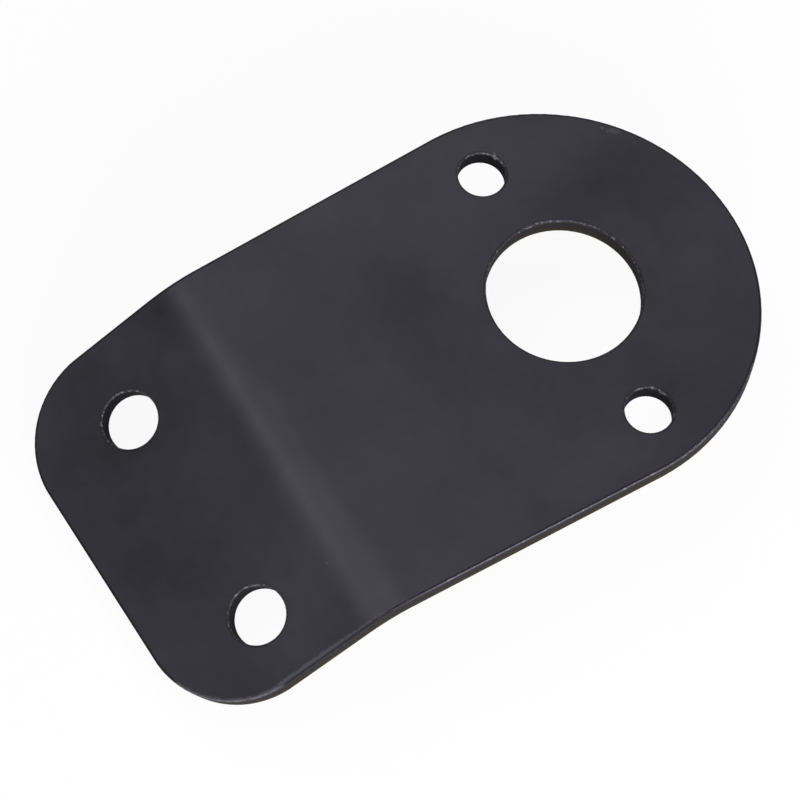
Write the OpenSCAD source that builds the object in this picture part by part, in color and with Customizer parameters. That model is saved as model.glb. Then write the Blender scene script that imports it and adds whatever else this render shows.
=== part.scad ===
// Motor mounting bracket: one steel plate with a round motor end, one shallow
// bend and a bolt-down flange with rounded corners.
//
// Origin: centre of the pilot hole, halfway through the sheet.
// +X points to the round end, -X to the flange, +Z out of the outer face.
// The modules below count heights from the motor end's inner face.

/* [Plate] */
// Thickness of the steel sheet
sheet_t = 3; // [2:0.5:4]
// Radius of the round motor end
end_r = 30; // [28:0.5:34]
// Distance from the pilot hole back to the centre of the round end
end_back = 2.7; // [0:0.1:5]
// Distance from the pilot hole to the start of the bend
reach = 43; // [38:1:60]
// Radius that breaks every cut edge
edge_r = 0.4; // [0.2:0.1:0.8]

/* [Bend] */
// Angle that the flange turns down from the motor end
bend_angle = 24; // [10:1:45]
// Radius on the inside of the bend
bend_r = 16; // [6:1:24]

/* [Flange] */
// Flat length of the flange beyond the bend
flange_l = 26.5; // [24:0.5:40]
// Width of the flange's free end, measured to the sharp corners
flange_w = 56; // [54:0.5:60]
// Radius of the two flange corners
corner_r = 14; // [8:0.5:16]

/* [Motor holes] */
// Diameter of the pilot hole
pilot_d = 22; // [16:0.5:28]
// Diameter of the two motor screw holes
screw_d = 6.8; // [5:0.1:8]
// Distance between the two motor screw holes
screw_gap = 43; // [38:0.5:44]

/* [Flange holes] */
// Diameter of the two flange bolt holes
bolt_d = 8.2; // [6:0.1:10]
// Distance between the two flange bolt holes
bolt_gap = 34; // [28:0.5:35]
// Distance from the flange's free end to the bolt holes
bolt_in = 15.3; // [12:0.1:17]
// Sideways offset of the pair of bolt holes from the middle
bolt_shift = -1; // [-2:0.1:2]

/* [Hidden] */
$fn = 128;
spare = 1;          // how far a cut runs past the surface it opens
far = 200;          // longer than the bracket in any direction
seam = 0.005;       // how far a round stands past its tangent faces, so that they cross cleanly
outer_r = bend_r + sheet_t;

// Place of the flange's end line on the outer face
tip_x = -reach - outer_r * sin(bend_angle) - flange_l * cos(bend_angle);
tip_z = sheet_t - outer_r * (1 - cos(bend_angle)) - flange_l * sin(bend_angle);

// Each side is one plane, tangent to the round end and half the flange's width out at the tip
tip_back = -end_back - tip_x;
taper = atan2(tip_back, flange_w / 2) - acos(end_r / norm([tip_back, flange_w / 2]));
side_out = [-sin(taper), cos(taper), 0];
tip_out = [-cos(bend_angle), 0, -sin(bend_angle)];
foot = [-end_back, 0, 0] + end_r * side_out;

// Half of the plate's width at a place along X
function half_w(x) = flange_w / 2 + (x - tip_x) * tan(taper);

// A point in the side view, counted from the bend's axis and turned with the flange
function turned(x, z) = [
    x * cos(bend_angle) - z * sin(bend_angle),
    x * sin(bend_angle) + z * cos(bend_angle)
];

// Moves its children onto the flange: x = 0 at the end of the bend, z = 0 on the inner face
module at_flange() {
    translate([-reach, 0, -bend_r])
        rotate([0, -bend_angle, 0])
            translate([0, 0, bend_r])
                children();
}

// Moves its children to where the bend's axis leaves the +Y side: x along the side, z inward
module at_side() {
    translate([-reach, half_w(-reach), -bend_r])
        rotate([90, 0, taper])
            children();
}

module both_sides() {
    children();
    mirror([0, 1, 0])
        children();
}

// What lies under one face of the bent sheet, in the side view
module under(r, past) {
    difference() {
        polygon([
            [reach + 2 * end_r + past, r],
            [-r * tan(bend_angle / 2), r],
            turned(-flange_l - past, r),
            turned(-flange_l - past, -past),
            [reach + 2 * end_r + past, -past]
        ]);
        difference() {
            polygon([[0, 0], [0, 2 * r], turned(0, 2 * r)]);
            circle(r + seam);
        }
    }
}

// Outline from above, open past the flange's end
module plan() {
    translate([-end_back, 0])
        circle(end_r + seam);
    polygon([
        [foot.x, foot.y],
        [tip_x - far, half_w(tip_x - far)],
        [tip_x - far, -half_w(tip_x - far)],
        [foot.x, -foot.y]
    ]);
}

// The bent sheet with its flange corners still square
module blank() {
    intersection() {
        translate([-reach, 0, -bend_r])
            rotate([90, 0, 0])
                linear_extrude(far, center = true)
                    difference() {
                        under(outer_r, 0);
                        under(bend_r, spare);
                    }
        translate([0, 0, -far / 2])
            linear_extrude(far)
                plan();
    }
}

// Takes the sharp corner off the +Y end of the flange, tangent to its side and its end
module corner_cut() {
    along = cross(side_out, tip_out) / norm(cross(side_out, tip_out));
    across = cross(along, side_out);
    open = acos(side_out * tip_out);
    middle = [tip_x, flange_w / 2, tip_z]
           - corner_r * (side_out + tip_out) / (1 + side_out * tip_out);
    reach_r = corner_r + spare;
    multmatrix([for (i = [0:2]) [side_out[i], across[i], along[i], middle[i]]])
        linear_extrude(4 * sheet_t, center = true)
            difference() {
                polygon([
                    [0, 0],
                    [reach_r, 0],
                    reach_r * [1, tan(open / 2)],
                    reach_r * [cos(open), sin(open)]
                ]);
                circle(corner_r + seam);
            }
}

// Cross-section of the cut that rounds an edge: the edge lies at the origin with the plate
// on its -X side, below it where up is 1 and above it where up is -1
module bite(up) {
    difference() {
        translate([-edge_r, up > 0 ? -edge_r : -spare])
            square(edge_r + spare);
        translate([-edge_r, -up * edge_r])
            circle(edge_r + 2 * seam);
    }
}

// Rounds one edge along the +Y side: r is that face's radius at the bend. The straight cuts
// or the curved one run past where they meet, whichever then meets no metal.
module side_edge(up, r) {
    straight_past = up > 0 ? 2 * spare : 0;
    turn_past = up > 0 ? 0 : 5;
    side_turn = atan(tan(bend_angle) * cos(taper));
    at_side() {
        translate([-straight_past, r, 0])
            rotate([0, 90, 0])
                linear_extrude(straight_past + norm(foot - [-reach, half_w(-reach), 0]) + 2 * spare)
                    bite(up);
        rotate_extrude(angle = side_turn + 2 * turn_past, start = 90 - turn_past)
            translate([r + seam, 0])
                rotate(-90)
                    bite(up);
        rotate(side_turn)
            translate([-flange_l - spare, r, 0])
                rotate([0, 90, 0])
                    linear_extrude(flange_l + spare + straight_past)
                        bite(up);
    }
}

// Rounds the edges of one face, at height z over the inner face
module face_edges(up, z) {
    side_slope = atan(tan(taper) * cos(bend_angle));
    lean = (sheet_t - z) * tan(taper) * sin(bend_angle);
    corner_y = flange_w / 2 + lean + corner_r * (tan(side_slope) - 1 / cos(side_slope));
    translate([-end_back, 0, 0])
        rotate_extrude(angle = 180 + 2 * taper, start = -90 - taper)
            translate([end_r + seam, z])
                bite(up);
    both_sides()
        side_edge(up, bend_r + z);
    at_flange() {
        both_sides()
            translate([corner_r - flange_l, corner_y, 0])
                rotate_extrude(angle = 90 - side_slope, start = 90 + side_slope)
                    translate([corner_r + 2 * seam, z + 2 * seam * up])
                        bite(up);
        translate([-flange_l, 0, z])
            rotate([90, 0, 180])
                linear_extrude(flange_w, center = true)
                    bite(up);
    }
}

// Drilled hole with both of its rims rounded
module hole(d) {
    translate([0, 0, -spare])
        cylinder(h = sheet_t + 2 * spare, d = d);
    for (up = [-1, 1])
        rotate_extrude()
            translate([d / 2, up > 0 ? sheet_t : 0])
                mirror([1, 0])
                    bite(up);
}

module bracket() {
    color("#3a3a40")
        translate([0, 0, -sheet_t / 2])
            difference() {
                blank();
                both_sides()
                    corner_cut();
                face_edges(1, sheet_t);
                face_edges(-1, 0);
                hole(pilot_d);
                both_sides()
                    translate([0, screw_gap / 2, 0])
                        hole(screw_d);
                at_flange()
                    for (side = [-1, 1])
                        translate([bolt_in - flange_l, bolt_shift + side * bolt_gap / 2, 0])
                            hole(bolt_d);
            }
}

bracket();
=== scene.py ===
import bmesh
import bpy
import math
from mathutils import Euler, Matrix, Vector


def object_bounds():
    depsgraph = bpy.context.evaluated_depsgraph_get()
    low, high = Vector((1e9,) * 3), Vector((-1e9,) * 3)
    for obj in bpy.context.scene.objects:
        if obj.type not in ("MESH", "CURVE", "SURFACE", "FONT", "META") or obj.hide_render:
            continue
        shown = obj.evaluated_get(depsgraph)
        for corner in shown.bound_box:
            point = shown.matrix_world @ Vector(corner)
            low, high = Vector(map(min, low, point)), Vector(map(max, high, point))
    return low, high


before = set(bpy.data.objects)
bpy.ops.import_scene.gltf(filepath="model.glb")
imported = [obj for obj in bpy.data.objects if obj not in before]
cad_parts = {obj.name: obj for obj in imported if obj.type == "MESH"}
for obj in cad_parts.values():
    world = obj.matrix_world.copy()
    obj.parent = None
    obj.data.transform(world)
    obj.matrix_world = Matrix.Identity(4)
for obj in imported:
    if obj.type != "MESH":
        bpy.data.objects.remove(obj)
cadBox = [list(corner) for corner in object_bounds()]
scene = bpy.context.scene
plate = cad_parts["bracket"]
print("frame loaded:", plate.name, "with", len(plate.data.polygons), "faces")


# Helpers for building node trees

def addNode(tree, kind, name, place, **settings):
    node = tree.nodes.new(kind)
    node.name = node.label = name
    node.location = place
    for key, value in settings.items():
        setattr(node, key, value)
    return node


def plug(tree, socket, value):
    if isinstance(value, bpy.types.NodeSocket):
        tree.links.new(value, socket)
    elif value is not None:
        socket.default_value = value


def mathNode(tree, operation, name, place, *inputs):
    node = addNode(tree, "ShaderNodeMath", name, place, operation=operation)
    for socket, value in zip(node.inputs, inputs):
        plug(tree, socket, value)
    return node.outputs[0]


def vectorNode(tree, operation, name, place, *inputs):
    node = addNode(tree, "ShaderNodeVectorMath", name, place, operation=operation)
    for socket, value in zip(node.inputs, inputs):
        plug(tree, socket, value)
    return node


def joinNode(tree, name, place, x, y, z):
    node = addNode(tree, "ShaderNodeCombineXYZ", name, place)
    for socket, value in zip(node.inputs, (x, y, z)):
        plug(tree, socket, value)
    return node.outputs[0]


def rampNode(tree, name, place, value, low, high, atLow=0.0, atHigh=1.0):
    node = addNode(tree, "ShaderNodeMapRange", name, place, interpolation_type="SMOOTHSTEP")
    for socket, setting in zip(node.inputs, (value, low, high, atLow, atHigh)):
        plug(tree, socket, setting)
    return node.outputs["Result"]


def noiseNode(tree, name, place, vector, size, detail=2.0, roughness=0.5, seed=None):
    node = addNode(tree, "ShaderNodeTexNoise", name, place)
    if seed is not None:
        node.noise_dimensions = "4D"
        plug(tree, node.inputs["W"], seed)
    node.inputs["Detail"].default_value = detail
    node.inputs["Roughness"].default_value = roughness
    plug(tree, node.inputs["Vector"], vector)
    plug(tree, node.inputs["Scale"], size if isinstance(size, bpy.types.NodeSocket) else 1 / size)
    return node.outputs["Fac"]


# The Mix node keeps one set of sockets for each kind of value
def mixColour(tree, name, place, factor, first, second):
    node = addNode(tree, "ShaderNodeMix", name, place, data_type="RGBA")
    plug(tree, node.inputs[0], factor)
    plug(tree, node.inputs[6], first)
    plug(tree, node.inputs[7], second)
    return node.outputs[2]


def mixValue(tree, name, place, factor, first, second):
    node = addNode(tree, "ShaderNodeMix", name, place, data_type="FLOAT")
    plug(tree, node.inputs[0], factor)
    plug(tree, node.inputs[2], first)
    plug(tree, node.inputs[3], second)
    return node.outputs[0]


def newGroup(name, inputs, outputs):
    group = bpy.data.node_groups.new(name, "ShaderNodeTree")
    for label, kind, default in inputs:
        socket = group.interface.new_socket(label, in_out="INPUT", socket_type="NodeSocket" + kind)
        if default is not None:
            socket.default_value = default
    for label, kind in outputs:
        group.interface.new_socket(label, in_out="OUTPUT", socket_type="NodeSocket" + kind)
    start = addNode(group, "NodeGroupInput", "start", (-1400, 0))
    end = addNode(group, "NodeGroupOutput", "end", (1400, 0))
    return group, start, end


def useGroup(tree, group, name, place, settings):
    node = addNode(tree, "ShaderNodeGroup", name, place, node_tree=group)
    for label, value in settings.items():
        plug(tree, node.inputs[label], value)
    return node


# Where the masks start and stop, and how ragged they are; lengths in metres
masks = {
    "cutWall": (0.5, 0.2),      # cosine of the turn away from the sheet, in these four
    "offFace": (0.999, 0.97),
    "offWall": (0.25, 0.5),
    "pastShoulder": (0.93, 0.75),
    "cloudDetail": 5.0,
    "cloudRoughness": 0.62,
    "patchFade": (1.3, 0.3),    # in half sizes of the patch
    "patchWispSize": 0.006,
    "patchWisps": 0.6,
    "boreFade": (1.25, 1.08),   # in radii of the bore
    "ovalFade": (1.7, 0.9),      # in half sizes of the mark
    "ovalRaggedSize": 0.0006,
    "ovalRagged": 1.2,
    "arcSpan": (0.80, 0.87),    # cosine of the turn from the middle of the arc
    "arcFade": (2.3, 1.5),      # in widths of the line
    "arcRaggedSize": 0.0004,
    "arcRagged": 2.4,
    "arcHeight": (-0.0006, -0.0003),     # counted from the arc's centre
    "raggedDetail": 3.0,
}


# Where a point lies on the unbent sheet, and which way the sheet faces there
def makeSheetPlace():
    group, start, end = newGroup(
        "sheetPlace",
        [("Point", "Vector", None), ("Normal", "Vector", None), ("Bend Start", "Float", 0.04),
         ("Bend Drop", "Float", 0.02), ("Bend Angle", "Float", 0.4), ("Ease Start", "Float", 0.04),
         ("Ease End", "Float", 0.05), ("Bend Lean", "Float", 0.0)],
        [("Flat", "Vector"), ("Normal", "Vector"), ("Cut", "Float"), ("Shoulder", "Float"),
         ("Rim", "Float")],
    )
    bendStart, bendDrop = start.outputs["Bend Start"], start.outputs["Bend Drop"]
    axis = joinNode(group, "bendAxis", (-1200, 200), bendStart, 0.0, bendDrop)
    flipped = vectorNode(group, "MULTIPLY", "bendAxisPlace", (-1040, 200), axis, (-1.0, 0.0, -1.0))
    fromAxis = vectorNode(group, "SUBTRACT", "fromAxis", (-880, 200),
                          start.outputs["Point"], flipped.outputs[0]).outputs[0]
    parts = addNode(group, "ShaderNodeSeparateXYZ", "fromAxisParts", (-720, 200))
    plug(group, parts.inputs[0], fromAxis)
    back = mathNode(group, "MULTIPLY", "back", (-560, 260), parts.outputs["X"], -1.0)
    turn = mathNode(group, "ARCTAN2", "turn", (-400, 200), back, parts.outputs["Z"])
    turn = mathNode(group, "MAXIMUM", "turnFromStart", (-240, 200), turn, 0.0)
    turn = mathNode(group, "MINIMUM", "turnToEnd", (-80, 200), turn, start.outputs["Bend Angle"])
    sine = mathNode(group, "SINE", "sine", (80, 300), turn)
    cosine = mathNode(group, "COSINE", "cosine", (80, 120), turn)
    out = joinNode(group, "sineUp", (240, 300), sine, 0.0, cosine)
    out = vectorNode(group, "MULTIPLY", "sheetNormal", (400, 300), out, (-1.0, 0.0, 1.0)).outputs[0]
    along = joinNode(group, "cosineUp", (240, 100), cosine, 0.0, sine)
    along = vectorNode(group, "MULTIPLY", "sheetAlong", (400, 100), along,
                       (-1.0, 0.0, -1.0)).outputs[0]
    height = vectorNode(group, "DOT_PRODUCT", "heightFromAxis", (560, 300), fromAxis,
                        out).outputs["Value"]
    height = mathNode(group, "SUBTRACT", "height", (720, 300), height, bendDrop)
    past = vectorNode(group, "DOT_PRODUCT", "pastBend", (560, 100), fromAxis,
                      along).outputs["Value"]
    arc = mathNode(group, "MULTIPLY_ADD", "arc", (560, -80), turn, bendDrop, bendStart)
    run = mathNode(group, "ADD", "run", (720, 60), past, arc)
    flat = joinNode(group, "flat", (900, 200), run, parts.outputs["Y"], height)
    plug(group, end.inputs["Flat"], flat)
    facing = vectorNode(group, "DOT_PRODUCT", "facing", (560, -260), start.outputs["Normal"],
                        out).outputs["Value"]
    size = mathNode(group, "ABSOLUTE", "facingSize", (720, -260), facing)
    cut = rampNode(group, "cutWall", (900, -180), size, *masks["cutWall"])
    offFace = rampNode(group, "offFace", (900, -380), size, *masks["offFace"])
    offWall = rampNode(group, "offWall", (900, -580), size, *masks["offWall"])
    pastShoulder = rampNode(group, "pastShoulder", (900, -780), size, *masks["pastShoulder"])
    onShoulder = mathNode(group, "SUBTRACT", "onShoulder", (1100, -380), offFace, pastShoulder)
    onRim = mathNode(group, "MULTIPLY", "onRim", (1100, -580), pastShoulder, offWall)
    leaned = mathNode(group, "MULTIPLY_ADD", "leaned", (900, 500), parts.outputs["Y"],
                      start.outputs["Bend Lean"], run)
    eased = rampNode(group, "easedTurn", (1060, 500), leaned, start.outputs["Ease Start"],
                     start.outputs["Ease End"], 0.0, start.outputs["Bend Angle"])
    easedSine = mathNode(group, "SINE", "easedSine", (1220, 600), eased)
    easedCosine = mathNode(group, "COSINE", "easedCosine", (1220, 440), eased)
    easedUp = joinNode(group, "easedUp", (1380, 500), easedSine, 0.0, easedCosine)
    side = mathNode(group, "SIGN", "side", (1220, 280), facing)
    minusSide = mathNode(group, "MULTIPLY", "minusSide", (1300, 200), side, -1.0)
    mirrored = joinNode(group, "mirrored", (1380, 280), minusSide, 0.0, side)
    faceNormal = vectorNode(group, "MULTIPLY", "faceNormal", (1540, 400), easedUp,
                            mirrored).outputs[0]
    blend = addNode(group, "ShaderNodeMix", "normalBlend", (1700, 400), data_type="VECTOR")
    plug(group, blend.inputs[0], offFace)
    plug(group, blend.inputs[4], faceNormal)
    plug(group, blend.inputs[5], start.outputs["Normal"])
    unit = vectorNode(group, "NORMALIZE", "unitNormal", (1860, 400), blend.outputs[1]).outputs[0]
    plug(group, end.inputs["Normal"], unit)
    plug(group, end.inputs["Cut"], cut)
    plug(group, end.inputs["Shoulder"], onShoulder)
    plug(group, end.inputs["Rim"], onRim)
    return group


# Cloudy unevenness around zero
def makeSoftClouds():
    group, start, end = newGroup(
        "softClouds",
        [("Flat", "Vector", None), ("Size", "Float", 0.01), ("Seed", "Float", 0.0),
         ("Strength", "Float", 1.0)],
        [("Value", "Float")],
    )
    scale = mathNode(group, "DIVIDE", "scale", (-1000, -100), 1.0, start.outputs["Size"])
    clouds = noiseNode(group, "clouds", (-760, 0), start.outputs["Flat"], scale,
                       masks["cloudDetail"], masks["cloudRoughness"], start.outputs["Seed"])
    centred = mathNode(group, "SUBTRACT", "centred", (-520, 0), clouds, 0.5)
    value = mathNode(group, "MULTIPLY", "value", (-320, 0), centred, start.outputs["Strength"])
    plug(group, end.inputs["Value"], value)
    return group


# Distance from the centre of a turned oval, 1 on its outline
def ovalReach(group, start):
    away = vectorNode(group, "SUBTRACT", "away", (-1100, 0), start.outputs["Flat"],
                      start.outputs["Centre"])
    turned = addNode(group, "ShaderNodeVectorRotate", "turned", (-900, 0), rotation_type="Z_AXIS")
    plug(group, turned.inputs["Vector"], away.outputs[0])
    plug(group, turned.inputs["Angle"], start.outputs["Turn"])
    shaped = vectorNode(group, "DIVIDE", "shaped", (-700, 0), turned.outputs[0],
                        start.outputs["Size"])
    return vectorNode(group, "LENGTH", "reach", (-500, 0), shaped.outputs[0]).outputs["Value"]


# A broad faint patch, lighter or darker in colour
def makeTonePatch():
    group, start, end = newGroup(
        "tonePatch",
        [("Flat", "Vector", None), ("Centre", "Vector", None), ("Turn", "Float", 0.0),
         ("Size", "Vector", None), ("Strength", "Float", 0.1)],
        [("Value", "Float")],
    )
    reach = ovalReach(group, start)
    wisps = noiseNode(group, "wisps", (-700, -260), start.outputs["Flat"],
                      masks["patchWispSize"], masks["raggedDetail"])
    push = mathNode(group, "MULTIPLY_ADD", "push", (-300, -100), wisps, masks["patchWisps"], reach)
    value = rampNode(group, "value", (-100, 0), push, *masks["patchFade"],
                     atHigh=start.outputs["Strength"])
    plug(group, end.inputs["Value"], value)
    return group


# One inside a bore, zero outside it; Dark is that times the depth of the bore's painted shade
def makeBoreArea():
    group, start, end = newGroup(
        "boreArea",
        [("Flat", "Vector", None), ("Centre", "Vector", None), ("Radius", "Float", 0.004),
         ("Darkness", "Float", 1.0)],
        [("Inside", "Float"), ("Dark", "Float")],
    )
    flatten = vectorNode(group, "MULTIPLY", "flatten", (-1000, 0), start.outputs["Flat"],
                         (1.0, 1.0, 0.0))
    away = vectorNode(group, "DISTANCE", "away", (-800, 0), flatten.outputs[0],
                      start.outputs["Centre"])
    past = mathNode(group, "DIVIDE", "past", (-600, 0), away.outputs["Value"],
                    start.outputs["Radius"])
    inside = rampNode(group, "inside", (-400, 0), past, *masks["boreFade"])
    plug(group, end.inputs["Inside"], inside)
    dark = mathNode(group, "MULTIPLY", "dark", (-200, -100), inside, start.outputs["Darkness"])
    plug(group, end.inputs["Dark"], dark)
    return group


# A ragged oval mask, for rubs on the coating and for painted glints
def makeRaggedOval():
    group, start, end = newGroup(
        "raggedOval",
        [("Flat", "Vector", None), ("Centre", "Vector", None), ("Turn", "Float", 0.0),
         ("Size", "Vector", None), ("Strength", "Float", 1.0)],
        [("Mask", "Float")],
    )
    reach = ovalReach(group, start)
    rough = noiseNode(group, "raggedness", (-700, -260), start.outputs["Flat"],
                      masks["ovalRaggedSize"], masks["raggedDetail"])
    push = mathNode(group, "MULTIPLY_ADD", "push", (-300, -100), rough, masks["ovalRagged"], reach)
    mask = rampNode(group, "mask", (-100, 0), push, *masks["ovalFade"],
                    atHigh=start.outputs["Strength"])
    plug(group, end.inputs["Mask"], mask)
    return group


# A ragged line along part of a rounded corner, for a painted highlight
def makeArcGlint():
    group, start, end = newGroup(
        "arcGlint",
        [("Flat", "Vector", None), ("Centre", "Vector", None), ("Direction", "Vector", None),
         ("Radius", "Float", 0.014), ("Width", "Float", 0.0004), ("Strength", "Float", 1.0)],
        [("Mask", "Float")],
    )
    away = vectorNode(group, "SUBTRACT", "away", (-1100, 0), start.outputs["Flat"],
                      start.outputs["Centre"])
    parts = addNode(group, "ShaderNodeSeparateXYZ", "awayParts", (-900, -200))
    plug(group, parts.inputs[0], away.outputs[0])
    level = vectorNode(group, "MULTIPLY", "level", (-900, 0), away.outputs[0], (1.0, 1.0, 0.0))
    heading = vectorNode(group, "NORMALIZE", "heading", (-700, 160), level.outputs[0])
    toward = vectorNode(group, "DOT_PRODUCT", "toward", (-500, 160),
                        heading.outputs[0], start.outputs["Direction"]).outputs["Value"]
    within = rampNode(group, "within", (-300, 160), toward, *masks["arcSpan"])
    far = vectorNode(group, "LENGTH", "far", (-700, 0), level.outputs[0]).outputs["Value"]
    off = mathNode(group, "SUBTRACT", "offArc", (-500, 0), far, start.outputs["Radius"])
    off = mathNode(group, "ABSOLUTE", "offArcSize", (-340, 0), off)
    off = mathNode(group, "DIVIDE", "offArcShare", (-180, 0), off, start.outputs["Width"])
    rough = noiseNode(group, "raggedness", (-500, -260), start.outputs["Flat"],
                      masks["arcRaggedSize"], masks["raggedDetail"])
    push = mathNode(group, "MULTIPLY_ADD", "push", (-20, -100), rough, masks["arcRagged"], off)
    line = rampNode(group, "line", (140, 0), push, *masks["arcFade"],
                    atHigh=start.outputs["Strength"])
    upper = rampNode(group, "upper", (-300, -400), parts.outputs["Z"], *masks["arcHeight"])
    mask = mathNode(group, "MULTIPLY", "lineWithin", (300, 0), line, within)
    mask = mathNode(group, "MULTIPLY", "mask", (460, 0), mask, upper)
    plug(group, end.inputs["Mask"], mask)
    return group


sheetPlace = makeSheetPlace()
softClouds = makeSoftClouds()
tonePatch = makeTonePatch()
boreArea = makeBoreArea()
raggedOval = makeRaggedOval()
arcGlint = makeArcGlint()
print("node groups built")


# Satin black powder coat on the steel plate; lengths in metres, on the unbent sheet
coat = {
    "colour": (0.0294, 0.0288, 0.0351, 1),
    "shine": 0.234,             # specular level
    "shineTint": (0.81, 0.775, 1.0, 1),
    "roughness": 0.31,
    "bendStart": 0.043,
    "bendDrop": 0.0175,         # from the middle of the sheet down to the bend's axis
    "bendAngle": math.radians(24),
    "easeStart": 0.0421,        # the sheet's shine turns over a little more than the bend
    "easeEnd": 0.0512,
    "bendLean": 0.03,           # slant of the shine across the sheet
    "cloudSize": 0.009,
    "toneClouds": 0.6,
    "sheenClouds": 0.16,
    "toneSeed": 2.0,
    "sheenSeed": 7.0,
    "fineSeed": 11.0,
    "fineSize": 0.0022,
    "fineClouds": 0.4,
    "grainSize": 0.00022,
    "grainHeight": 0.000004,
    "peelSize": 0.0013,
    "peelHeight": 0.000009,
    "waveSize": 0.022,
    "waveHeight": 0.00004,
}

# Broad patches in tone, partly the coat's own mottling and partly painted light and shade, such as
# the dark ones at the bend that shift its shine: centre, turn in degrees, half sizes, change in
# tone
toneAndShadePatches = {
    "roundEnd": ((-0.0150, 0.0115, 0), 0, (0.018, 0.009, 1), -0.33),
    "boltLeftSide": ((0.0615, 0.0160, 0), 0, (0.018, 0.018, 1), -0.25),
    "behindPilot": ((0.0205, 0.0080, 0), 90, (0.018, 0.009, 1), -0.21),
    "flangeEnd": ((0.0695, -0.0015, 0), 45, (0.018, 0.013, 1), -0.19),
    "boltRightSide": ((0.0545, -0.0190, 0), 135, (0.018, 0.013, 1), 0.18),
    "screwLeftSide": ((0.0030, 0.0205, 0), 0, (0.018, 0.013, 1), 0.20),
    "bendMiddle": ((0.0490, 0.0045, 0), 90, (0.009, 0.006, 1), -0.20),
    "screwRightSide": ((-0.0055, -0.0215, 0), 45, (0.018, 0.009, 1), -0.18),
    "bendLeft": ((0.0490, 0.0285, 0), 90, (0.013, 0.006, 1), -0.33),
    "beforeBend": ((0.0380, 0.0060, 0), 90, (0.013, 0.006, 1), -0.18),
    "roundEndRight": ((-0.0245, -0.0100, 0), 0, (0.018, 0.018, 1), 0.12),
    "rightEdge": ((0.0100, -0.0250, 0), 0, (0.013, 0.006, 1), 0.16),
    "leftOfBend": ((0.0390, 0.0240, 0), 45, (0.013, 0.009, 1), 0.12),
    "leftEdge": ((0.0215, 0.0285, 0), 0, (0.013, 0.006, 1), 0.21),
    "middle": ((0.0340, -0.0105, 0), 0, (0.018, 0.006, 1), 0.11),
}

# Sheared walls of the outline and the bores
cutEdge = {
    "upperColour": (0.0165, 0.015, 0.0135, 1),    # smooth band under the outer rim
    "lowerColour": (0.0275, 0.0185, 0.007, 1),    # torn band, warm under the cool sheen
    # painted shade: the bores' walls near black
    "boreShadeColour": (0.001, 0.001, 0.0012, 1),
    "bandMiddle": -0.0005,      # height of the step over the middle of the sheet
    "bandSoft": 0.0003,
    "roughness": 1.0,
    "streakWidth": 0.0004,
    "streakLength": 0.003,
    "streakHeight": 0.00001,
}

# Rounded rims of the faces, and the shoulders where they begin
rim = {
    "shoulderShadeColour": (0.003, 0.003, 0.004, 1),   # painted shade where the face starts to turn over
    "shoulderRoughness": 0.85,
    "lineWidth": 0.0005,
    "lineTurn": (0.998, 0.97),  # cosine of the turn that shows as the line
    "lineSamples": 6,
    "roughness": 0.22,
    "dullRoughness": 0.38,
    "boreRoughness": 0.55,
    "boreShoulder": 0.5,        # share of the shoulder's painted shade beside the bores
    "colour": (0.018, 0.0175, 0.022, 1),
    "litRimColour": (0.058, 0.057, 0.070, 1),       # painted highlight along the straight right side
    "litRimStart": (-0.014, -0.001),
    "litRimSide": (0.004, -0.004),
    # painted shade on the flange's rim
    "flangeShadeColour": (0.002, 0.002, 0.003, 1),
    "flangeStart": (0.036, 0.050),
    "flangeRoughness": 0.8,
    "flangeShoulder": 0.6,      # share of the flange rim's painted shade that reaches onto the shoulder
    "fleckSize": 0.0004,
    # painted highlight on the flecks, the bores' rims and the flange's corner
    "glintColour": (0.12, 0.12, 0.13, 1),
    "fleckShare": 0.54,         # noise above this shows as a fleck
    "fleckSoft": 0.1,
    "fleckDetail": 3.0,
    "fewFlecks": 0.35,          # strength of the flecks away from the lit side and the bores
}

# Bores: centre, radius, depth of the painted shade on the wall
bores = {
    "pilot": ((0.0, 0.0, 0.0), 0.011, 0.25),
    "screwLeft": ((0.0, 0.0215, 0.0), 0.0034, 1.0),
    "screwRight": ((0.0, -0.0215, 0.0), 0.0034, 1.0),
    "boltLeft": ((0.06153, 0.016, 0.0), 0.0041, 1.0),
    "boltRight": ((0.06153, -0.018, 0.0), 0.0041, 0.8),
}

# Painted highlights on the bores' rims, as bright spots: centre, turn in degrees, half sizes,
# strength
boreRimGlints = {
    "screwRightGlint": ((-0.0030, -0.0202, 0.0015), 65, (0.0008, 0.00022, 0.001), 1.0),
    "screwRightGlintInner": ((-0.0023, -0.0188, 0.0015), 40, (0.0004, 0.0002, 0.001), 0.7),
    "screwRightGlintOuter": ((-0.0025, -0.0239, 0.0015), -45, (0.0004, 0.0002, 0.001), 0.8),
    "screwLeftGlint": ((-0.0030, 0.0226, 0.0015), -70, (0.0012, 0.00024, 0.001), 1.0),
    "boltLeftGlint": ((0.0582, 0.0181, 0.0015), 60, (0.0007, 0.0002, 0.001), 0.7),
    "boltRightGlint": ((0.0596, -0.0144, 0.0015), 30, (0.0010, 0.0002, 0.001), 0.5),
}

# Painted highlight: a ragged bright line round the flange's right corner
cornerGlint = {
    "centre": (0.06283, -0.01435, 0.0015),
    "direction": (0.616, -0.788, 0),
    "radius": 0.0138,
    "width": 0.00033,
    "strength": 0.8,
}

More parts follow.
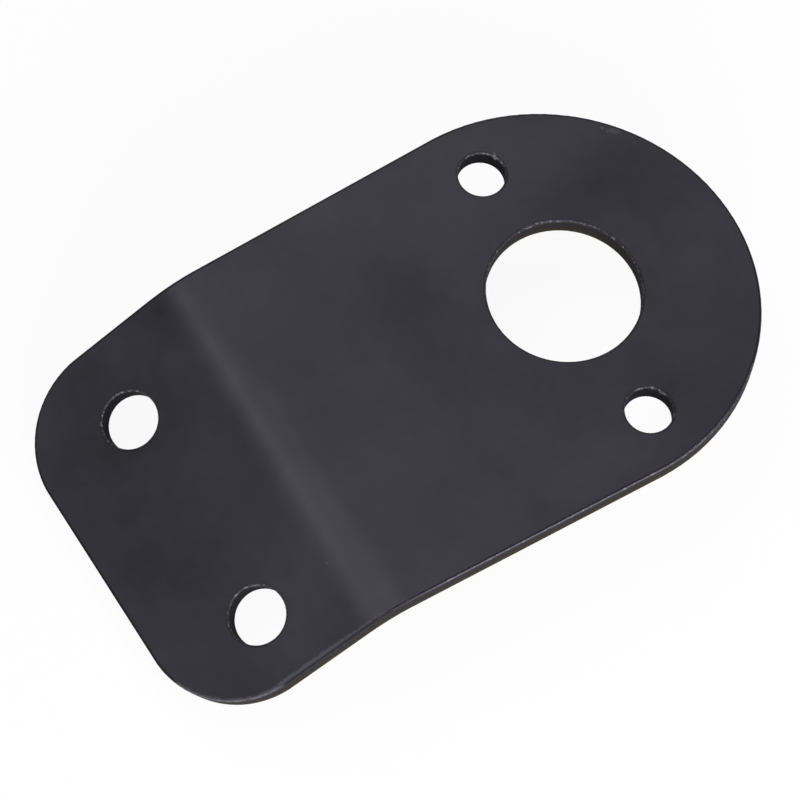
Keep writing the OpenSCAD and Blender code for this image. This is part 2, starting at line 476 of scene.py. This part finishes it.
# Small rubs and nicks, and a painted highlight along the flange's right rim: centre, turn in
# degrees, half sizes, strength
marks = {
    # colour of the rubs, also the painted highlight on the flange's right rim and corner
    "colour": (0.066, 0.065, 0.080, 1),
    "height": 0.00002,
    "places": {
        "rimNick": ((-0.0190, 0.0193, 0.0015), -135, (0.0003, 0.0003, 0.001), 1.0),
        "rimRub": ((-0.0201, 0.0180, 0.0015), -138, (0.0015, 0.0006, 0.001), 0.55),
        "rimSpeck": ((-0.0217, 0.0150, 0.0015), 0, (0.0003, 0.0002, 0.001), 0.5),
        # painted highlight along the flange's right rim
        "flangeRimGlint": ((0.0590, -0.0281, 0.0015), 1.5, (0.0160, 0.0005, 0.0006), 1.0),
        "bendSpeck": ((0.0496, -0.0180, 0.0015), 0, (0.0002, 0.0002, 0.001), 0.8),
        "bendNick": ((0.0522, -0.0282, 0.0015), 0, (0.0004, 0.0003, 0.001), 1.0),
    },
}


# One mark for each place, and the strongest at every point
def addOvalMarks(tree, flat, places, mask, nodeHeight):
    for step, (name, (centre, turn, size, strength)) in enumerate(places.items()):
        mark = useGroup(tree, raggedOval, name, (-1100 + 180 * step, nodeHeight), {
            "Flat": flat, "Centre": centre, "Turn": -math.radians(turn), "Size": size,
            "Strength": strength})
        mask = mathNode(tree, "MAXIMUM", name + "Too", (-1000 + 180 * step, nodeHeight + 200),
                        mask, mark.outputs["Mask"])
    return mask


def makeCoating():
    material = bpy.data.materials.new("blackCoating")
    material.use_nodes = True
    tree = material.node_tree
    shader = tree.nodes["Principled BSDF"]
    shader.location = (1200, 0)
    shader.inputs["Specular IOR Level"].default_value = coat["shine"]
    shader.inputs["Specular Tint"].default_value = coat["shineTint"]
    tree.nodes["Material Output"].location = (1500, 0)
    coords = addNode(tree, "ShaderNodeTexCoord", "coords", (-1900, 0))
    sheet = useGroup(tree, sheetPlace, "sheetPlace", (-1700, 0), {
        "Point": coords.outputs["Object"], "Normal": coords.outputs["Normal"],
        "Bend Start": coat["bendStart"], "Bend Drop": coat["bendDrop"],
        "Bend Angle": coat["bendAngle"], "Bend Lean": coat["bendLean"],
        "Ease Start": coat["easeStart"], "Ease End": coat["easeEnd"],
    })
    flat, cut = sheet.outputs["Flat"], sheet.outputs["Cut"]
    shoulder, onRim = sheet.outputs["Shoulder"], sheet.outputs["Rim"]
    parts = addNode(tree, "ShaderNodeSeparateXYZ", "flatParts", (-1500, -500))
    plug(tree, parts.inputs[0], flat)

    # clouds in tone and sheen
    tone = useGroup(tree, softClouds, "toneClouds", (-1400, 500), {
        "Flat": flat, "Size": coat["cloudSize"], "Seed": coat["toneSeed"],
        "Strength": coat["toneClouds"]})
    sheen = useGroup(tree, softClouds, "sheenClouds", (-1400, 260), {
        "Flat": flat, "Size": coat["cloudSize"], "Seed": coat["sheenSeed"],
        "Strength": coat["sheenClouds"]})
    lift = mathNode(tree, "ADD", "lift", (-1200, 500), tone.outputs["Value"], 1.0)
    for step, (name, (centre, turn, size, change)) in enumerate(toneAndShadePatches.items()):
        patch = useGroup(tree, tonePatch, name, (-1400 + 160 * step, 1700), {
            "Flat": flat, "Centre": centre, "Turn": -math.radians(turn), "Size": size,
            "Strength": change})
        lift = mathNode(tree, "ADD", name + "Lift", (-1340 + 160 * step, 1500), lift,
                        patch.outputs["Value"])
    fine = useGroup(tree, softClouds, "fineClouds", (-1400, 760), {
        "Flat": flat, "Size": coat["fineSize"], "Seed": coat["fineSeed"],
        "Strength": coat["fineClouds"]})
    lift = mathNode(tree, "ADD", "fineLift", (-1100, 640), lift, fine.outputs["Value"])
    faceColour = vectorNode(tree, "SCALE", "faceColour", (-1000, 500), coat["colour"][:3])
    plug(tree, faceColour.inputs["Scale"], lift)
    faceRoughness = mathNode(tree, "ADD", "faceRoughness", (-1200, 260), sheen.outputs["Value"],
                             coat["roughness"])

    # cut walls: a smooth band above, a torn one below, streaked through the sheet
    stretch = vectorNode(tree, "DIVIDE", "stretch", (-1300, -700), flat,
                         (cutEdge["streakWidth"], cutEdge["streakWidth"], cutEdge["streakLength"]))
    streaks = noiseNode(tree, "streaks", (-1100, -700), stretch.outputs[0], size=1.0)
    ragged = mathNode(tree, "MULTIPLY_ADD", "raggedHeight", (-900, -500), streaks,
                      2 * cutEdge["bandSoft"], parts.outputs["Z"])
    band = rampNode(tree, "upperBand", (-700, -500), ragged,
                    cutEdge["bandMiddle"], cutEdge["bandMiddle"] + 2 * cutEdge["bandSoft"])
    wallColour = mixColour(tree, "wallColour", (-500, -300), band, cutEdge["lowerColour"],
                           cutEdge["upperColour"])

    # painted shade: the bores are darker still
    inBore, boreShade = 0.0, 0.0
    for step, (name, (centre, radius, darkness)) in enumerate(bores.items()):
        area = useGroup(tree, boreArea, name, (-1100 + 180 * step, -1000), {
            "Flat": flat, "Centre": centre, "Radius": radius, "Darkness": darkness})
        inBore = mathNode(tree, "MAXIMUM", name + "Inside", (-1000 + 180 * step, -1200),
                          inBore, area.outputs["Inside"])
        boreShade = mathNode(tree, "MAXIMUM", name + "Dark", (-1000 + 180 * step, -1400),
                            boreShade, area.outputs["Dark"])
    wallColour = mixColour(tree, "boreShadeColour", (-300, -300), boreShade, wallColour,
                           cutEdge["boreShadeColour"])

    # painted highlight along one side of the rims, and painted shade round the flange
    onFlange = rampNode(tree, "onFlange", (-900, -300), parts.outputs["X"], *rim["flangeStart"])
    litRim = rampNode(tree, "litRimAlong", (-900, 500), parts.outputs["X"], *rim["litRimStart"])
    litRimSide = rampNode(tree, "litRimSide", (-900, 350), parts.outputs["Y"], *rim["litRimSide"])
    litRim = mathNode(tree, "MULTIPLY", "litRim", (-740, 430), litRim, litRimSide)
    offBore = mathNode(tree, "SUBTRACT", "offBore", (-740, 600), 1.0, inBore)
    litRim = mathNode(tree, "MULTIPLY", "litRimOffBore", (-580, 430), litRim, offBore)

    # a thin dull line along the edges of the faces, with painted shade in its colour
    bevel = addNode(tree, "ShaderNodeBevel", "edgeBevel", (-1000, 1000), samples=rim["lineSamples"])
    bevel.inputs["Radius"].default_value = rim["lineWidth"]
    geometry = addNode(tree, "ShaderNodeNewGeometry", "geometry", (-1000, 1200))
    straight = vectorNode(tree, "DOT_PRODUCT", "straight", (-800, 1000),
                          bevel.outputs["Normal"], geometry.outputs["Normal"]).outputs["Value"]
    bent = rampNode(tree, "bentNormal", (-640, 1000), straight, *rim["lineTurn"])
    edgeShade = mathNode(tree, "MAXIMUM", "edgeShade", (-480, 1000), bent, shoulder)
    offCut = mathNode(tree, "SUBTRACT", "offCut", (-640, 1200), 1.0, cut)
    offRim = mathNode(tree, "SUBTRACT", "offRim", (-640, 1350), offCut, onRim)
    edgeShade = mathNode(tree, "MULTIPLY", "faceEdge", (-320, 1000), edgeShade, offRim)
    shoulderShare = rampNode(tree, "shoulderShare", (-320, 1200), inBore, 0.0, 1.0,
                             atLow=1.0, atHigh=rim["boreShoulder"])
    edgeShade = mathNode(tree, "MULTIPLY", "shoulderDark", (-160, 1000), edgeShade, shoulderShare)

    # bright flecks over the rims: painted highlight where their line of light breaks up
    fleckNoise = noiseNode(tree, "fleckNoise", (-700, 800), flat, rim["fleckSize"],
                           rim["fleckDetail"])
    flecks = rampNode(tree, "flecks", (-500, 800), fleckNoise, rim["fleckShare"],
                      rim["fleckShare"] + rim["fleckSoft"])
    flecks = mathNode(tree, "MULTIPLY", "rimFlecks", (-300, 800), flecks, onRim)
    fleckShare = mathNode(tree, "MAXIMUM", "litRimOrBore", (-300, 960), litRim, inBore)
    fleckShare = mathNode(tree, "MULTIPLY_ADD", "fleckShare", (-200, 960), fleckShare,
                          1 - rim["fewFlecks"], rim["fewFlecks"])
    flecks = mathNode(tree, "MULTIPLY", "fewerFlecks", (-140, 800), flecks, fleckShare)
    corner = useGroup(tree, arcGlint, "cornerGlint", (-1100, 1700), {
        "Flat": flat, "Centre": cornerGlint["centre"], "Direction": cornerGlint["direction"],
        "Radius": cornerGlint["radius"], "Width": cornerGlint["width"],
        "Strength": cornerGlint["strength"]})
    cornerLine = corner.outputs["Mask"]
    cornerRim = mathNode(tree, "MULTIPLY", "cornerRim", (-900, 1700), cornerLine, onRim)
    flecks = mathNode(tree, "MAXIMUM", "cornerFlecks", (-20, 800), flecks, cornerRim)

    # painted highlights on the bores' rims; small rubs and nicks, with the painted highlights on
    # the flange's corner and right rim
    flecks = addOvalMarks(tree, flat, boreRimGlints, flecks, 1900)
    rubsAndGlints = addOvalMarks(tree, flat, marks["places"], cornerLine, 1100)

    # base colour, built up from the faces and walls
    colour = mixColour(tree, "faceOrWall", (0, 300), cut, faceColour.outputs[0], wallColour)
    rimColour = mixColour(tree, "rimColour", (-100, 700), litRim, rim["colour"], rim["litRimColour"])
    colour = mixColour(tree, "withRims", (50, 400), onRim, colour, rimColour)
    colour = mixColour(tree, "shoulderShadeColour", (100, 500), edgeShade, colour, rim["shoulderShadeColour"])
    colour = mixColour(tree, "withRubsAndGlints", (200, 300), rubsAndGlints, colour, marks["colour"])
    colour = mixColour(tree, "withFlecks", (400, 300), flecks, colour, rim["glintColour"])

    # painted shade: the flange's rim stays dark over all of these, apart from the painted highlight
    # on its corner
    flangeRimShade = mathNode(tree, "MULTIPLY_ADD", "turnedOver", (200, 600), shoulder,
                         rim["flangeShoulder"], onRim)
    flangeRimShade = mathNode(tree, "MULTIPLY", "offBoreRim", (360, 600), flangeRimShade, offBore)
    offCorner = mathNode(tree, "SUBTRACT", "offCorner", (200, 760), 1.0, cornerLine)
    flangeRimShade = mathNode(tree, "MULTIPLY", "offCornerRim", (440, 600), flangeRimShade, offCorner)
    flangeRimShade = mathNode(tree, "MULTIPLY", "flangeRimShade", (520, 600), flangeRimShade, onFlange)
    colour = mixColour(tree, "flangeRimColour", (680, 300), flangeRimShade, colour, rim["flangeShadeColour"])
    plug(tree, shader.inputs["Base Color"], colour)

    roughness = mixValue(tree, "faceOrWallRoughness", (0, 100), cut, faceRoughness,
                         cutEdge["roughness"])
    roughness = mixValue(tree, "shoulderRoughness", (200, 100), edgeShade, roughness,
                         rim["shoulderRoughness"])
    patchyRim = mixValue(tree, "patchyRim", (300, -50), flecks, rim["dullRoughness"],
                         rim["roughness"])
    patchyRim = mixValue(tree, "flangeRimRoughness", (400, -50), onFlange, patchyRim,
                         rim["flangeRoughness"])
    patchyRim = mixValue(tree, "boreRim", (500, -50), inBore, patchyRim, rim["boreRoughness"])
    roughness = mixValue(tree, "rimRoughness", (600, 100), onRim, roughness, patchyRim)
    plug(tree, shader.inputs["Roughness"], roughness)

    # relief: slow waves of the sheet, orange peel, powder grain, streaks on the walls
    waves = noiseNode(tree, "sheetWaves", (-500, -800), flat, coat["waveSize"], detail=1.0)
    peel = noiseNode(tree, "orangePeel", (-300, -800), flat, coat["peelSize"], detail=1.0)
    grain = noiseNode(tree, "powderGrain", (-100, -800), flat, coat["grainSize"], detail=2.0)
    height = mathNode(tree, "MULTIPLY", "waveHeight", (100, -700), waves, coat["waveHeight"])
    height = mathNode(tree, "MULTIPLY_ADD", "peelHeight", (260, -700), peel, coat["peelHeight"],
                      height)
    height = mathNode(tree, "MULTIPLY_ADD", "grainHeight", (420, -700), grain, coat["grainHeight"],
                      height)
    wallRelief = mathNode(tree, "MULTIPLY", "wallRelief", (420, -900), streaks, cut)
    height = mathNode(tree, "MULTIPLY_ADD", "streakHeight", (580, -700), wallRelief,
                      cutEdge["streakHeight"], height)
    height = mathNode(tree, "MULTIPLY_ADD", "markHeight", (740, -700), rubsAndGlints, -marks["height"],
                      height)
    bump = addNode(tree, "ShaderNodeBump", "coatRelief", (940, -500))
    bump.inputs["Distance"].default_value = 1.0     # the heights are in metres
    plug(tree, bump.inputs["Height"], height)
    plug(tree, bump.inputs["Normal"], sheet.outputs["Normal"])
    plug(tree, shader.inputs["Normal"], bump.outputs["Normal"])
    return material


coating = makeCoating()
plate.data.materials.clear()
plate.data.materials.append(coating)
print("coating laid on", plate.name)


# Pale floor with a low cove, soft lamps; metres and watts
studio = {
    "floorGap": 0.0002,        # air under the lowest point of the plate
    "floorReach": 2.4,         # flat floor out to here, then a cove up to a low wall
    "floorSteps": 64,
    "coveRadius": 0.25,
    "coveSteps": 8,
    "wallTop": 0.4,
    "weldReach": 0.00001,      # corners closer than this become one
    "floorColour": (0.9, 0.9, 0.9, 1),
    "floorRoughness": 0.9,
    "floorSpecular": 0.1,
    "floorLift": 0.93,         # share of plain white in what is seen of the floor
    "ambient": 0.15,
    "aim": (-0.02, 0.0, 0.0),
    "lamps": {
        "frontSoftbox": {"from": (0.16, -0.76, 0.29), "size": (0.2, 0.1), "power": 2.9},
        "flangeSoftbox": {"from": (-0.30, -0.70, 0.30), "size": (0.4, 0.4), "power": 7.2},
        "leftSoftbox": {"from": (-0.80, 0.10, 0.28), "size": (0.2, 0.2), "power": 0.6},
        "bendSoftbox": {"from": (-0.26, 0.33, 0.84), "size": (0.36, 0.12), "power": 0.66},
        "bendSpot": {"from": (-0.14, 0.22, 0.58), "size": (0.14, 0.14), "power": 0.12},
        "overheadSoftbox": {"from": (0.05, 0.20, 0.88), "size": (0.25, 0.25), "power": 0.77},
        "backSoftbox": {"from": (0.30, 0.55, 0.63), "size": (0.3, 0.3), "power": 1.28},
    },
}


def makePaleFloor():
    material = bpy.data.materials.new("paleFloor")
    material.use_nodes = True
    tree = material.node_tree
    shader = tree.nodes["Principled BSDF"]
    shader.inputs["Base Color"].default_value = studio["floorColour"]
    shader.inputs["Roughness"].default_value = studio["floorRoughness"]
    shader.inputs["Specular IOR Level"].default_value = studio["floorSpecular"]
    rays = addNode(tree, "ShaderNodeLightPath", "rays", (-700, 300))
    seen = mathNode(tree, "MAXIMUM", "cameraOrGlossy", (-500, 300),
                    rays.outputs["Is Camera Ray"], rays.outputs["Is Glossy Ray"])
    seen = mathNode(tree, "MAXIMUM", "orTransmission", (-300, 300), seen,
                    rays.outputs["Is Transmission Ray"])
    share = mathNode(tree, "MULTIPLY", "whiteShare", (-100, 300), seen, studio["floorLift"])
    white = addNode(tree, "ShaderNodeEmission", "plainWhite", (0, -300))
    mix = addNode(tree, "ShaderNodeMixShader", "floorMix", (320, 100))
    plug(tree, mix.inputs["Fac"], share)
    plug(tree, mix.inputs[1], shader.outputs[0])
    plug(tree, mix.inputs[2], white.outputs[0])
    plug(tree, tree.nodes["Material Output"].inputs["Surface"], mix.outputs[0])
    return material


# One profile turned full circle: floor, cove and low wall
def makeFloor():
    reach, cove, coveSteps = studio["floorReach"], studio["coveRadius"], studio["coveSteps"]
    profile = [(0.0, 0.0), (reach, 0.0)]
    for step in range(1, coveSteps + 1):
        angle = math.radians(90 * step / coveSteps)
        profile.append((reach + cove * math.sin(angle), cove * (1 - math.cos(angle))))
    profile.append((reach + cove, studio["wallTop"]))
    mesh = bmesh.new()
    ring = [mesh.verts.new((across, 0, up)) for across, up in profile]
    edges = [mesh.edges.new(pair) for pair in zip(ring, ring[1:])]
    bmesh.ops.spin(mesh, geom=ring + edges, axis=(0, 0, 1), cent=(0, 0, 0),
                   angle=2 * math.pi, steps=studio["floorSteps"], use_merge=True)
    bmesh.ops.remove_doubles(mesh, verts=mesh.verts, dist=studio["weldReach"])
    bmesh.ops.recalc_face_normals(mesh, faces=mesh.faces)
    for face in mesh.faces:
        face.smooth = True
    data = bpy.data.meshes.new("floor")
    mesh.to_mesh(data)
    mesh.free()
    data.materials.append(makePaleFloor())
    floor = bpy.data.objects.new("floor", data)
    floor.location.z = cadBox[0][2] - studio["floorGap"]
    scene.collection.objects.link(floor)


def makeWorld():
    world = bpy.data.worlds.new("studioWorld")
    world.use_nodes = True
    background = world.node_tree.nodes["Background"]
    background.inputs["Color"].default_value = (1, 1, 1, 1)
    background.inputs["Strength"].default_value = studio["ambient"]
    scene.world = world


def makeLamp(name, spec):
    lamp = bpy.data.lights.new(name, "AREA")
    lamp.shape = "RECTANGLE"
    lamp.size, lamp.size_y = spec["size"]
    lamp.energy = spec["power"]
    holder = bpy.data.objects.new(name, lamp)
    holder.location = spec["from"]
    aim = Vector(studio["aim"]) - Vector(spec["from"])
    holder.rotation_euler = aim.to_track_quat("-Z", "Y").to_euler()
    holder.visible_camera = False
    scene.collection.objects.link(holder)


makeFloor()
makeWorld()
for lampName, lampSpec in studio["lamps"].items():
    makeLamp(lampName, lampSpec)
print("studio lit by", len(studio["lamps"]), "softboxes")


# Camera
view = {
    "from": (-0.178536, -0.188295, 0.486359),
    "turn": (25.97888, -3.34167, -32.06155),     # degrees about X, Y and Z
    "lens": 176.77,
    "sensor": 36,
}

camera = bpy.data.objects.new("camera", bpy.data.cameras.new("camera"))
camera.data.lens = view["lens"]
camera.data.sensor_width = view["sensor"]
camera.location = view["from"]
camera.rotation_euler = Euler([math.radians(angle) for angle in view["turn"]])
scene.collection.objects.link(camera)
scene.camera = camera
scene.view_settings.view_transform = "Standard"
print("camera set")
